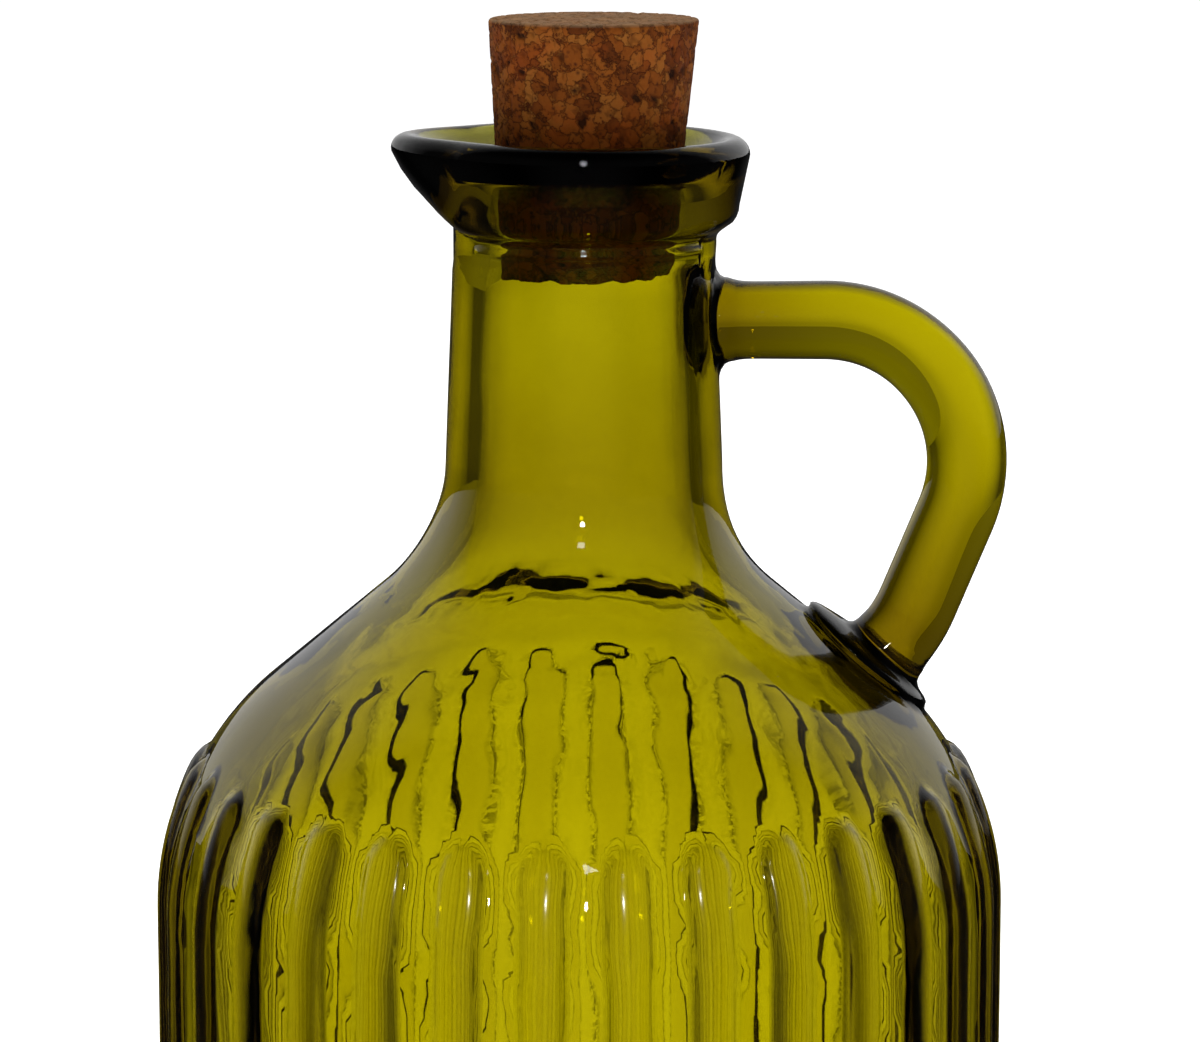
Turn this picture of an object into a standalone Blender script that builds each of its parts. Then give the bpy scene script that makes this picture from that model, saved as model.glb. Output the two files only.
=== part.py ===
"""Oil cruet: a ribbed glass bottle with a pouring lip and a glass handle, and its tapered cork.

Metres, +Z up. The origin is on the bottle's axis, in the plane that it stands on. The spout
points to -X and the handle to +X. Depths are measured down from the rim.
"""

import math

import bmesh
import bpy
from mathutils import Matrix, Vector

MM = 0.001

# Bottle as turned
HEIGHT = 190.0 * MM
SEGMENTS = 64
BODY_RADIUS = 58.85 * MM
BODY_WALL = 3.2 * MM
HEEL = 10.0 * MM
HEEL_INSIDE = 8.0 * MM
FOOT_WIDTH = 5.0 * MM
PUNT_RISE = 2.4 * MM
PUNT_SLOPE = 3.6 * MM
FLOOR = 5.6 * MM
FLOOR_RISE = 1.2 * MM

# Neck and shoulder
NECK_TOP_RADIUS = 18.25 * MM
NECK_FOOT_RADIUS = 19.5 * MM
NECK_WALL = 2.6 * MM
NECK_FOOT_DEPTH = 45.7 * MM
NECK_ARC = 22.75 * MM
SHOULDER_TURN = 50.2
SHOULDER_ARC = 40.6 * MM
NECK_SHIFT = 0.7 * MM
NECK_SHIFT_END = 60.0 * MM

# Lip and mouth
LIP_RADIUS = 23.2 * MM
LIP_DEPTH = 12.9 * MM
LIP_STEP = 0.8 * MM
LIP_LOWER_RADIUS = 21.75 * MM
LIP_LOWER_ARC = 3.5 * MM
LIP_TILT = 0.012
RIM_ARC = 2.4 * MM
BORE_RADIUS = 13.7 * MM
BORE_TOP_DEPTH = 4.8 * MM
BORE_END_DEPTH = 13.5 * MM
BORE_SHIFT = 0.4 * MM
NECK_INSIDE_DEPTH = 18.5 * MM

# Spout
SPOUT_REACH = 3.9 * MM
SPOUT_DEPTH = 9.0 * MM
SPOUT_HALF_ANGLE = 42.0

# Ribs
RIBS = 32
RIB_START = -4.6
RIB_HALF_WIDTH = 3.1 * MM
RIB_HEIGHT = 1.25 * MM
RIB_ROOT = 1.1 * MM
RIB_TOP_DEPTH = 87.4 * MM
RIB_FOOT = 13.0 * MM
RIB_SIDES = 10
RIB_RINGS = 6
RIB_BENDS = 4
RIB_BEND_RUN = 24.0 * MM

# Handle
HANDLE_RADIUS = 5.4 * MM
HANDLE_END_RADIUS = 5.65 * MM
HANDLE_START = 18.0 * MM
HANDLE_DEPTH = 25.7 * MM
HANDLE_TOP_RUN = 16.5 * MM
HANDLE_BEND = 20.1 * MM
HANDLE_BEND_TURN = 112.5
HANDLE_LEG_RUN = 13.5 * MM
HANDLE_HEEL_TURN = 17.0
HANDLE_END_RUN = 5.0 * MM
HANDLE_IN_WALL = 1.5 * MM
HANDLE_FLARE = 0.16
HANDLE_FLARE_LENGTH = 2.2 * MM

# Pad under the handle
PAD_LENGTH = 23.5 * MM
PAD_WIDTH = 18.0 * MM
PAD_RISE = 1.3 * MM
PAD_ROOT = 2.2 * MM
PAD_SHIFT = 1.2 * MM

# Cork
CORK_TOP_RADIUS = 14.65 * MM
CORK_END_RADIUS = 11.85 * MM
CORK_LENGTH = 35.8 * MM
CORK_ABOVE_RIM = 16.5 * MM
CORK_TOP_SHIFT = 2.1 * MM
CORK_LEAN = 1.8
CORK_EDGE = 0.5 * MM

MERGE = 0.01 * MM
SEAM_MERGE = 0.03 * MM


def clear_scene():
    """Removes every object, so that the part stands alone."""
    for old in list(bpy.data.objects):
        bpy.data.objects.remove(old, do_unlink=True)


def finish(name, colour, roughness, transmission):
    """A plain finish in the part's own colour."""
    material = bpy.data.materials.new(name)
    material.use_nodes = True
    shader = material.node_tree.nodes["Principled BSDF"]
    shader.inputs["Base Color"].default_value = (*colour, 1.0)
    shader.inputs["Roughness"].default_value = roughness
    shader.inputs["Metallic"].default_value = 0.0
    shader.inputs["Transmission Weight"].default_value = transmission
    return material


def object_from(mesh_data, name):
    """Puts the working mesh into an object of the scene, and frees it."""
    mesh = bpy.data.meshes.new(name)
    mesh_data.to_mesh(mesh)
    mesh_data.free()
    made = bpy.data.objects.new(name, mesh)
    bpy.context.collection.objects.link(made)
    return made


def arc(centre, radius, start, end, steps):
    """Points of an arc in the plane of radius and height, between two angles in degrees."""
    angles = [math.radians(start + (end - start) * i / steps) for i in range(steps + 1)]
    return [(centre[0] + radius * math.cos(a), centre[1] + radius * math.sin(a)) for a in angles]


def bell(neck_radius, neck_arc, body_radius, shoulder_arc, flare_steps, bend_steps):
    """The neck's flare, the straight shoulder and its bend into the body, from the top down."""
    turn = math.radians(SHOULDER_TURN)
    neck_foot = HEIGHT - NECK_FOOT_DEPTH
    flare = arc((neck_radius + neck_arc, neck_foot), neck_arc, 180.0, 180.0 + SHOULDER_TURN, flare_steps)
    bend_radius = body_radius - shoulder_arc * (1.0 - math.cos(turn))
    drop = (bend_radius - flare[-1][0]) / math.tan(turn)
    bend_end = flare[-1][1] - drop - shoulder_arc * math.sin(turn)
    centre = (body_radius - shoulder_arc, bend_end)
    return flare + arc(centre, shoulder_arc, SHOULDER_TURN, 0.0, bend_steps)


def inside_outline():
    """The inner wall, from the middle of the floor up to the mouth."""
    radius = BODY_RADIUS - BODY_WALL
    floor = [(0.0, FLOOR + FLOOR_RISE), (0.5 * radius, FLOOR + 0.75 * FLOOR_RISE)]
    corner = arc((radius - HEEL_INSIDE, FLOOR + HEEL_INSIDE), HEEL_INSIDE, -90.0, 0.0, 3)
    neck_radius = NECK_FOOT_RADIUS - NECK_WALL
    wall = bell(neck_radius, NECK_ARC + NECK_WALL, radius, SHOULDER_ARC - BODY_WALL, 3, 4)
    neck = [(NECK_TOP_RADIUS - NECK_WALL, HEIGHT - NECK_INSIDE_DEPTH)]
    bore = [(BORE_RADIUS, HEIGHT - BORE_END_DEPTH), (BORE_RADIUS, HEIGHT - BORE_TOP_DEPTH)]
    return floor + corner + wall[::-1] + neck + bore


def lip_outline():
    """The dish of the mouth, the round rim and the thick lip, down to the neck."""
    rim = arc((LIP_RADIUS - RIM_ARC, HEIGHT - RIM_ARC), RIM_ARC, 120.0, 0.0, 4)
    lower_centre = (LIP_LOWER_RADIUS - LIP_LOWER_ARC, HEIGHT - LIP_DEPTH + LIP_LOWER_ARC)
    lower = arc(lower_centre, LIP_LOWER_ARC, 0.0, -80.0, 3)
    return rim + lower


def outside_outline():
    """The outer wall from the top of the neck down to the middle of the punt."""
    neck = [(NECK_TOP_RADIUS, HEIGHT - LIP_DEPTH - LIP_STEP)]
    wall = bell(NECK_FOOT_RADIUS, NECK_ARC, BODY_RADIUS, SHOULDER_ARC, 4, 6)
    corner = arc((BODY_RADIUS - HEEL, HEEL), HEEL, 0.0, -90.0, 4)
    foot = [(BODY_RADIUS - HEEL - FOOT_WIDTH, 0.0)]
    punt = [(foot[0][0] - PUNT_SLOPE, PUNT_RISE), (0.0, PUNT_RISE)]
    return neck + wall + corner + foot + punt


def eased(value):
    """A smooth step from 0 to 1."""
    value = min(max(value, 0.0), 1.0)
    return value * value * (3.0 - 2.0 * value)


def shift_neck(work):
    """Sets the neck a little off the body's axis, towards the handle, fading into the shoulder."""
    blend_length = NECK_SHIFT_END - NECK_FOOT_DEPTH
    for vert in work.verts:
        above = vert.co.z - (HEIGHT - NECK_SHIFT_END)
        vert.co.x += NECK_SHIFT * eased(above / blend_length)


def draw_spout(work):
    """Pulls the lip out to a beak at -X, tilts it up there, and sets the bore off its middle."""
    dish_width = LIP_RADIUS - RIM_ARC - BORE_RADIUS
    for vert in work.verts:
        depth = HEIGHT - vert.co.z
        radius = math.hypot(vert.co.x, vert.co.y)
        if depth > NECK_INSIDE_DEPTH - MERGE or radius < MERGE:
            continue
        rise = eased((radius - BORE_RADIUS) / dish_width)
        inner = 1.0 - eased((radius - BORE_RADIUS) / (0.5 * dish_width))
        angle = abs(math.degrees(math.atan2(vert.co.y, -vert.co.x)))
        beak = 0.5 + 0.5 * math.cos(math.pi * min(angle / SPOUT_HALF_ANGLE, 1.0))
        pull = SPOUT_REACH * (1.0 - (depth / SPOUT_DEPTH) ** 2) * beak * rise
        drawn = radius + pull
        if radius > NECK_TOP_RADIUS - MERGE:
            drawn = max(drawn, NECK_TOP_RADIUS)
        vert.co.x *= drawn / radius
        vert.co.y *= drawn / radius
        vert.co.x += BORE_SHIFT * inner
        level = 1.0 - eased(depth / LIP_DEPTH)
        vert.co.z += LIP_TILT * (LIP_RADIUS - vert.co.x) * level


def turned_bottle():
    """The bottle without its ribs and handle: one outline spun round the axis."""
    work = bmesh.new()
    outline = inside_outline() + lip_outline() + outside_outline()
    verts = [work.verts.new((0.0, -r, z)) for r, z in outline]
    edges = [work.edges.new(pair) for pair in zip(verts, verts[1:])]
    turn = Matrix.Rotation(math.radians(RIB_START), 3, "Z")
    bmesh.ops.rotate(work, verts=work.verts, cent=(0.0, 0.0, 0.0), matrix=turn)
    bmesh.ops.spin(
        work,
        geom=verts + edges,
        cent=(0.0, 0.0, 0.0),
        axis=(0.0, 0.0, 1.0),
        angle=math.tau,
        steps=SEGMENTS,
        use_merge=True,
    )
    bmesh.ops.remove_doubles(work, verts=work.verts, dist=MERGE)
    draw_spout(work)
    shift_neck(work)
    bmesh.ops.recalc_face_normals(work, faces=work.faces)
    return object_from(work, "bottle")


def wall_at(run):
    """Where the outer wall is, as radius, height and normal, this far down from the ribs' tops."""
    outline = bell(NECK_FOOT_RADIUS, NECK_ARC, BODY_RADIUS, SHOULDER_ARC, 1, 1)
    bend_end = outline[-1][1]
    bend_run = SHOULDER_ARC * math.asin((HEIGHT - RIB_TOP_DEPTH - bend_end) / SHOULDER_ARC)
    angle = (bend_run - run) / SHOULDER_ARC
    if angle < 0.0:
        past = run - bend_run
        return Vector((BODY_RADIUS, bend_end - past)), Vector((1.0, 0.0))
    normal = Vector((math.cos(angle), math.sin(angle)))
    return Vector((BODY_RADIUS - SHOULDER_ARC, bend_end)) + SHOULDER_ARC * normal, normal


def rib(angle):
    """A half-round rib with round ends, bent onto the wall at an angle round the axis."""
    length = RIB_BEND_RUN + wall_at(RIB_BEND_RUN)[0].y - RIB_FOOT
    work = bmesh.new()
    sides = Matrix.Rotation(math.pi / 2, 4, "X")
    bmesh.ops.create_uvsphere(
        work, u_segments=RIB_SIDES, v_segments=RIB_RINGS, radius=RIB_HALF_WIDTH, matrix=sides
    )
    for vert in work.verts:
        if vert.co.y > MERGE:
            vert.co.y += length - 2.0 * RIB_HALF_WIDTH
    for i in range(1, RIB_BENDS + 1):
        place = (RIB_BEND_RUN - RIB_HALF_WIDTH) * i / RIB_BENDS
        geometry = work.verts[:] + work.edges[:] + work.faces[:]
        bmesh.ops.bisect_plane(work, geom=geometry, plane_co=(0.0, place, 0.0), plane_no=(0.0, 1.0, 0.0))
    for vert in work.verts:
        across, run, out = vert.co.x, vert.co.y + RIB_HALF_WIDTH, vert.co.z / RIB_HALF_WIDTH
        out *= RIB_HEIGHT if out > 0.0 else RIB_ROOT
        place, normal = wall_at(run)
        radius = place.x + out * normal.x
        turn = angle + across / place.x
        vert.co = (radius * math.sin(turn), -radius * math.cos(turn), place.y + out * normal.y)
    bmesh.ops.recalc_face_normals(work, faces=work.faces)
    return object_from(work, "rib")


def handle_path():
    """Points of the handle's centre line with the heading at its end, from the neck to the pad."""
    bend_run = HANDLE_BEND * math.radians(HANDLE_BEND_TURN)
    heel_run = HANDLE_BEND * math.radians(HANDLE_HEEL_TURN)
    runs = (
        (HANDLE_TOP_RUN, 0.0, 6),
        (bend_run, HANDLE_BEND_TURN, 12),
        (HANDLE_LEG_RUN, 0.0, 3),
        (heel_run, HANDLE_HEEL_TURN, 2),
        (HANDLE_END_RUN, 0.0, 3),
    )
    place, heading = Vector((HANDLE_START, 0.0, HEIGHT - HANDLE_DEPTH)), 0.0
    points = [place.copy()]
    for length, turn, steps in runs:
        for _ in range(steps):
            heading -= math.radians(turn) / steps / 2
            place += Vector((math.cos(heading), 0.0, math.sin(heading))) * (length / steps)
            heading -= math.radians(turn) / steps / 2
            points.append(place.copy())
    return points, heading


def handle():
    """A round glass rod along the path, a little wider where it runs into the bottle."""
    points, _ = handle_path()
    curve = bpy.data.curves.new("handle_path", "CURVE")
    curve.dimensions = "3D"
    curve.bevel_depth = HANDLE_RADIUS
    curve.bevel_resolution = 4
    curve.use_fill_caps = True
    spline = curve.splines.new("POLY")
    spline.points.add(len(points) - 1)
    growth = 2.0 * (HANDLE_END_RADIUS / HANDLE_RADIUS - 1.0) / len(points)
    for i, (point, place) in enumerate(zip(spline.points, points)):
        from_neck = (place - points[0]).length - HANDLE_IN_WALL
        from_pad = (place - points[-1]).length - HANDLE_IN_WALL
        near = max(min(from_neck, from_pad), 0.0) / HANDLE_FLARE_LENGTH
        point.co = (*place, 1.0)
        grown = 1.0 + growth * min(i, 0.5 * len(points))
        point.radius = grown * (1.0 + HANDLE_FLARE * math.exp(-near * near))
    guide = bpy.data.objects.new("handle_path", curve)
    bpy.context.collection.objects.link(guide)
    work = bmesh.new()
    work.from_mesh(bpy.data.meshes.new_from_object(guide))
    bpy.data.objects.remove(guide, do_unlink=True)
    bmesh.ops.remove_doubles(work, verts=work.verts, dist=MERGE)
    bmesh.ops.recalc_face_normals(work, faces=work.faces)
    return object_from(work, "handle")


def pad():
    """The oval pad on the shoulder that the handle's lower end is pressed onto."""
    points, heading = handle_path()
    into_wall = Vector((math.cos(heading), 0.0, math.sin(heading)))
    surface = points[-1] - into_wall * HANDLE_IN_WALL
    work = bmesh.new()
    bmesh.ops.create_uvsphere(work, u_segments=20, v_segments=8, radius=1.0)
    for vert in work.verts:
        vert.co.x = 0.5 * PAD_LENGTH * vert.co.x - PAD_SHIFT
        vert.co.y *= 0.5 * PAD_WIDTH
        vert.co.z *= PAD_RISE if vert.co.z > 0.0 else PAD_ROOT
    lean = Matrix.Rotation(-math.pi / 2 - heading, 4, "Y")
    bmesh.ops.transform(work, matrix=Matrix.Translation(surface) @ lean, verts=work.verts)
    return object_from(work, "pad")


def merge_seams(mesh):
    """Joins the points that the union leaves almost on top of each other along its seams."""
    work = bmesh.new()
    work.from_mesh(mesh)
    bmesh.ops.triangulate(work, faces=work.faces)
    bmesh.ops.remove_doubles(work, verts=work.verts, dist=SEAM_MERGE)
    bmesh.ops.dissolve_degenerate(work, edges=work.edges, dist=SEAM_MERGE)
    work.to_mesh(mesh)
    work.free()


def bottle():
    """The bottle in one piece, with its ribs, its handle and the handle's pad fused on."""
    body = turned_bottle()
    pitch = math.tau / RIBS
    added = [rib(math.radians(RIB_START) + pitch * i) for i in range(RIBS)]
    added += [handle(), pad()]
    group = bpy.data.collections.new("fused_on")
    for piece in added:
        group.objects.link(piece)
    union = body.modifiers.new("fuse", "BOOLEAN")
    union.operation = "UNION"
    union.operand_type = "COLLECTION"
    union.collection = group
    union.solver = "EXACT"
    graph = bpy.context.evaluated_depsgraph_get()
    fused = bpy.data.meshes.new_from_object(body.evaluated_get(graph))
    body.modifiers.clear()
    body.data = fused
    for piece in added:
        bpy.data.objects.remove(piece, do_unlink=True)
    bpy.data.collections.remove(group)
    merge_seams(fused)
    fused.materials.clear()
    fused.materials.append(finish("green_glass", (0.42, 0.38, 0.01), 0.04, 0.9))
    fused.shade_smooth()
    fused.set_sharp_from_angle(angle=math.radians(35.0))
    return body


def cork():
    """The tapered cork in the mouth, cut level, its sides leaning a little towards the handle."""
    work = bmesh.new()
    bmesh.ops.create_cone(
        work,
        cap_ends=True,
        segments=40,
        radius1=CORK_END_RADIUS,
        radius2=CORK_TOP_RADIUS,
        depth=CORK_LENGTH,
    )
    rims = [edge for edge in work.edges if abs(edge.verts[0].co.z - edge.verts[1].co.z) < MERGE]
    bmesh.ops.bevel(
        work, geom=rims, offset=CORK_EDGE, segments=2, profile=0.5, affect="EDGES", material=-1
    )
    bmesh.ops.translate(work, vec=(0.0, 0.0, -0.5 * CORK_LENGTH), verts=work.verts)
    stand = Matrix.Translation((CORK_TOP_SHIFT, 0.0, HEIGHT + CORK_ABOVE_RIM))
    lean = Matrix.Identity(4)
    lean[0][2] = math.tan(math.radians(CORK_LEAN))
    bmesh.ops.transform(work, matrix=stand @ lean, verts=work.verts)
    made = object_from(work, "cork")
    made.data.materials.append(finish("cork", (0.24, 0.13, 0.06), 0.9, 0.0))
    made.data.shade_smooth()
    made.data.set_sharp_from_angle(angle=math.radians(35.0))
    return made


def main():
    clear_scene()
    bottle()
    cork()


main()
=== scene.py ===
"""Oil cruet of ribbed green glass with a cork in its mouth, dressed for a studio picture.

Metres, +Z up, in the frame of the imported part: the origin is on the bottle's axis, in the plane that
it stands on. The spout points to -X and the handle to +X. Depths are measured down from the rim, and
turns round the axis from -Y towards +X.
"""

import logging
import math
from dataclasses import dataclass, field
from enum import Enum

import bmesh
import bpy
from bmesh.types import BMEdge, BMesh, BMVert
from bpy.types import Material, Mesh, Node, NodeSocket, NodeTree, Object
from mathutils import Matrix, Vector, noise


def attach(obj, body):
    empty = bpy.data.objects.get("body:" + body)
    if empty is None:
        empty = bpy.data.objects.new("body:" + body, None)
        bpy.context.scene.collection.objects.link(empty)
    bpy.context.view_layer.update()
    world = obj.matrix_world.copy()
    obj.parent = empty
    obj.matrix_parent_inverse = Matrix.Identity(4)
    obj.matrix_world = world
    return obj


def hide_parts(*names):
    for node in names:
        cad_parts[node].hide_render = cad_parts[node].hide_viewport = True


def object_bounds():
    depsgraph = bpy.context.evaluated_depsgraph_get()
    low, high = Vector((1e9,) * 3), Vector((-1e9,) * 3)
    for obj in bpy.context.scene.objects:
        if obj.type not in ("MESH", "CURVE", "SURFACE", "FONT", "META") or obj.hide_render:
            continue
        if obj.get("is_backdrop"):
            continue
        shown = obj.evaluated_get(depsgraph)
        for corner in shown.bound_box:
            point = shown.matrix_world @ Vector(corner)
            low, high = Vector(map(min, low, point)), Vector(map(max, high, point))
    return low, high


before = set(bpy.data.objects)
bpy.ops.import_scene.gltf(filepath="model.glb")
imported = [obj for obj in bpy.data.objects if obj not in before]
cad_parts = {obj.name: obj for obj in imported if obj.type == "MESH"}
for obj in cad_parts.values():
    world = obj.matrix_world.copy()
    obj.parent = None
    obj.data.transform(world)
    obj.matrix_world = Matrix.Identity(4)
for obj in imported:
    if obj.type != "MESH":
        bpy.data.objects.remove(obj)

LOG = logging.getLogger("oil_cruet")
MM = 0.001
MERGE = 0.005 * MM
AXIS = Vector((0.0, 0.0, 1.0))
Pair = tuple[float, float]
Triple = tuple[float, float, float]


class Wall(Enum):
    """The two sides of the bottle's glass, as kept on its points."""

    INSIDE = 0
    OUTSIDE = 1


def eased(value: float) -> float:
    """Returns a smooth step from 0 to 1."""
    value = min(max(value, 0.0), 1.0)
    return value * value * (3.0 - 2.0 * value)


def step_between(value: float, low: float, high: float) -> float:
    """Returns a smooth step from 0 at the low value to 1 at the high one."""
    return eased((value - low) / (high - low))


@dataclass(frozen=True)
class Ripple:
    """A smooth uneven pattern: the rough length of a wave, the seed that picks it, and its height."""

    length: float
    seed: float
    size: float = 1.0

    def at(self, place: Vector) -> float:
        """Returns the pattern's value at a point, from about -size to size."""
        shift = Vector((self.seed, 1.7 * self.seed, -0.6 * self.seed))
        return self.size * noise.noise(place / self.length + shift)


def rippled(waves: tuple[Ripple, ...], place: Vector) -> float:
    """Returns the sum of several patterns at a point."""
    return sum(wave.at(place) for wave in waves)


def turn_of(place: Vector) -> float:
    """Returns the turn of a point round the axis, in radians from -Y towards +X."""
    return math.atan2(place.x, -place.y)


def object_from(work: BMesh, name: str) -> Object:
    """Puts a working mesh into an object of the scene and frees it.

    Args:
        work: The finished mesh.
        name: Name of the object and its mesh.

    Returns:
        The new object.
    """
    mesh = bpy.data.meshes.new(name)
    work.to_mesh(mesh)
    work.free()
    made = bpy.data.objects.new(name, mesh)
    bpy.context.collection.objects.link(made)
    return made


@dataclass
class Outline:
    """Draws an outline in the plane of radius and height, stroke after stroke."""

    work: BMesh
    tip: BMVert

    @classmethod
    def start(cls, work: BMesh, radius: float, height: float) -> "Outline":
        """Sets the pen down on a new point and returns it."""
        return cls(work, work.verts.new((radius, 0.0, height)))

    def line(self, radius: float, height: float, steps: int = 1) -> None:
        """Draws a straight stroke.

        Args:
            radius: Radius at its end.
            height: Height at its end.
            steps: Edges that it is cut into.
        """
        begin, end = self.tip.co.copy(), Vector((radius, 0.0, height))
        for i in range(steps):
            self.tip = bmesh.ops.extrude_vert_indiv(self.work, verts=[self.tip])["verts"][0]
            self.tip.co = begin.lerp(end, (i + 1) / steps)

    def arc(self, centre: Pair, turn: float, steps: int) -> None:
        """Draws an arc from the tip.

        Args:
            centre: Radius and height of its centre.
            turn: Degrees, positive from the radius towards the height.
            steps: Edges that it is cut into.
        """
        made = bmesh.ops.spin(
            self.work,
            geom=[self.tip],
            cent=(centre[0], 0.0, centre[1]),
            axis=(0.0, -1.0, 0.0),
            angle=math.radians(turn),
            steps=steps,
            use_duplicate=False,
        )
        self.tip = next(end for end in made["geom_last"] if isinstance(end, BMVert))


def spin_outline(work: BMesh, start: float, segments: int) -> None:
    """Turns the drawn outline round the axis into a closed surface.

    Args:
        work: Mesh that holds the outline alone, its two ends on the axis.
        start: Turn of the first column of points, in radians.
        segments: Columns of points.
    """
    to_front = Matrix.Rotation(start - math.pi / 2, 3, "Z")
    bmesh.ops.rotate(work, verts=work.verts, cent=(0.0, 0.0, 0.0), matrix=to_front)
    bmesh.ops.spin(
        work,
        geom=work.verts[:] + work.edges[:],
        cent=(0.0, 0.0, 0.0),
        axis=AXIS,
        angle=math.tau,
        steps=segments,
        use_merge=True,
    )
    bmesh.ops.remove_doubles(work, verts=work.verts, dist=MERGE)
    bmesh.ops.recalc_face_normals(work, faces=work.faces)


@dataclass(frozen=True)
class Bell:
    """Radii and heights that the neck's flare, the straight shoulder and its bend are drawn from."""

    flare_centre: Pair
    flare_end: Pair
    bend_start: Pair
    bend_centre: Pair


@dataclass
class Profile:
    """The outer wall's sizes as moulded, shared by the bottle and what sits on it."""

    height: float = 190.0 * MM
    body_radius: float = 58.85 * MM
    neck_top_radius: float = 18.25 * MM
    neck_foot_radius: float = 19.5 * MM
    neck_foot_depth: float = 45.7 * MM
    neck_arc: float = 22.75 * MM
    shoulder_turn: float = 50.2
    shoulder_arc: float = 40.6 * MM
    neck_shift: float = 0.7 * MM
    neck_shift_end: float = 60.0 * MM

    @property
    def neck_foot(self) -> float:
        """Height where the neck starts to widen."""
        return self.height - self.neck_foot_depth

    def bell(self, wall: float = 0.0, neck_wall: float = 0.0) -> Bell:
        """Gives the lines from the neck to the upright body.

        Args:
            wall: How far inside the body's outer wall they are.
            neck_wall: How far inside the neck's outer wall they are.

        Returns:
            Where the flare, the straight shoulder and the bend begin and end.
        """
        turn = math.radians(self.shoulder_turn)
        centre = Vector((self.neck_foot_radius + self.neck_arc, self.neck_foot))
        flare_end = centre - (self.neck_arc + neck_wall) * Vector((math.cos(turn), math.sin(turn)))
        outer, arc = self.body_radius - wall, self.shoulder_arc - wall
        radius = outer - arc * (1.0 - math.cos(turn))
        height = flare_end.y - (radius - flare_end.x) / math.tan(turn)
        bend_centre = (outer - arc, height - arc * math.sin(turn))
        return Bell(tuple(centre), tuple(flare_end), (radius, height), bend_centre)

    def shift_at(self, height: float) -> float:
        """Returns how far the neck stands off the body's axis at a height, towards the handle."""
        above = height - (self.height - self.neck_shift_end)
        return self.neck_shift * eased(above / (self.neck_shift_end - self.neck_foot_depth))


@dataclass
class Ribs:
    """Half-round ribs up the body, with round ends."""

    profile: Profile
    count: int = 32
    start: float = math.radians(-4.6)
    half_width: float = 3.1 * MM
    height: float = 1.25 * MM
    top_depth: float = 87.4 * MM
    top_lean: float = 1.4 * MM
    foot: float = 13.0 * MM
    end_length: float = 4.2 * MM
    root_waver: tuple[Ripple, ...] = (
        Ripple(2.6 * MM, 50.0, 0.22 * MM),
        Ripple(7.0 * MM, 51.0, 0.22 * MM),
    )
    roundness: float = 0.6
    # The painted shade along each rib's root line: its width, how much is left at the front, and over
    # what width it turns to full towards the back.
    crease_width: float = 0.5 * MM
    root_shade_front: float = 0.15
    root_shade_turn: float = 30.0 * MM
    zone: Pair = (11.0 * MM, 115.0 * MM)
    columns: tuple[float, ...] = (0.0, 0.173, 0.329, 0.450, 0.537, 0.649, 1.0)

    @property
    def pitch(self) -> float:
        """Turn from one rib to the next."""
        return math.tau / self.count

    @property
    def segments(self) -> int:
        """Columns of points round the bottle."""
        return self.count * 2 * (len(self.columns) - 1)

    def gather_columns(self, work: BMesh) -> None:
        """Slides the columns of points round the axis, so that most of them stand on the ribs.

        Args:
            work: The spun bottle, with evenly spaced columns.
        """
        half = len(self.columns) - 1
        step = math.tau / self.segments
        for vert in work.verts:
            radius = math.hypot(vert.co.x, vert.co.y)
            if radius < MERGE:
                continue
            column = round((turn_of(vert.co) - self.start) / step)
            near = round(column / (2 * half))
            offset = column - near * 2 * half
            share = math.copysign(self.columns[abs(offset)], offset)
            turn = self.start + near * self.pitch + share * self.pitch / 2
            vert.co.x = radius * math.sin(turn)
            vert.co.y = -radius * math.cos(turn)

    def run_at(self, height: float) -> float:
        """Gives how far down the wall a height is from the ribs' tops.

        Args:
            height: The height on the outer wall.

        Returns:
            The way along the wall in metres, negative above the tops.
        """
        bend_end, arc = self.profile.bell().bend_centre[1], self.profile.shoulder_arc
        top = math.asin((self.profile.height - self.top_depth - bend_end) / arc)
        if height < bend_end:
            return top * arc + bend_end - height
        return (top - math.asin(min((height - bend_end) / arc, 1.0))) * arc

    def shape_at(self, place: Vector) -> Pair:
        """Gives the ribs' relief at a point of the outer wall.

        Args:
            place: Point on the plain wall.

        Returns:
            The height that a rib stands proud there, and how much painted shade lies on a rib's root
            line there, more towards +Y than at the front.
        """
        radius = math.hypot(place.x, place.y)
        across = (turn_of(place) - self.start) / self.pitch
        across = abs(across - round(across)) * self.pitch * radius
        across += rippled(self.root_waver, place)
        lean = self.top_lean * math.cos(turn_of(place))
        run = min(self.run_at(place.z) - lean, place.z - self.foot)
        past = max(1.0 - run / self.end_length, 0.0) * self.half_width
        reach = math.hypot(across, past) / self.half_width
        proud = self.height * max(1.0 - reach * reach, 0.0) ** self.roundness
        off_root = (reach - 1.0) * self.half_width / self.crease_width
        # Painted shade on the root lines, weaker at the front (-Y) than at the back.
        behind = eased(0.5 + 0.5 * place.y / self.root_shade_turn)
        pale_top_and_root_shade = self.root_shade_front + (1.0 - self.root_shade_front) * behind
        return proud, pale_top_and_root_shade * math.exp(-off_root * off_root)


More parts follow.
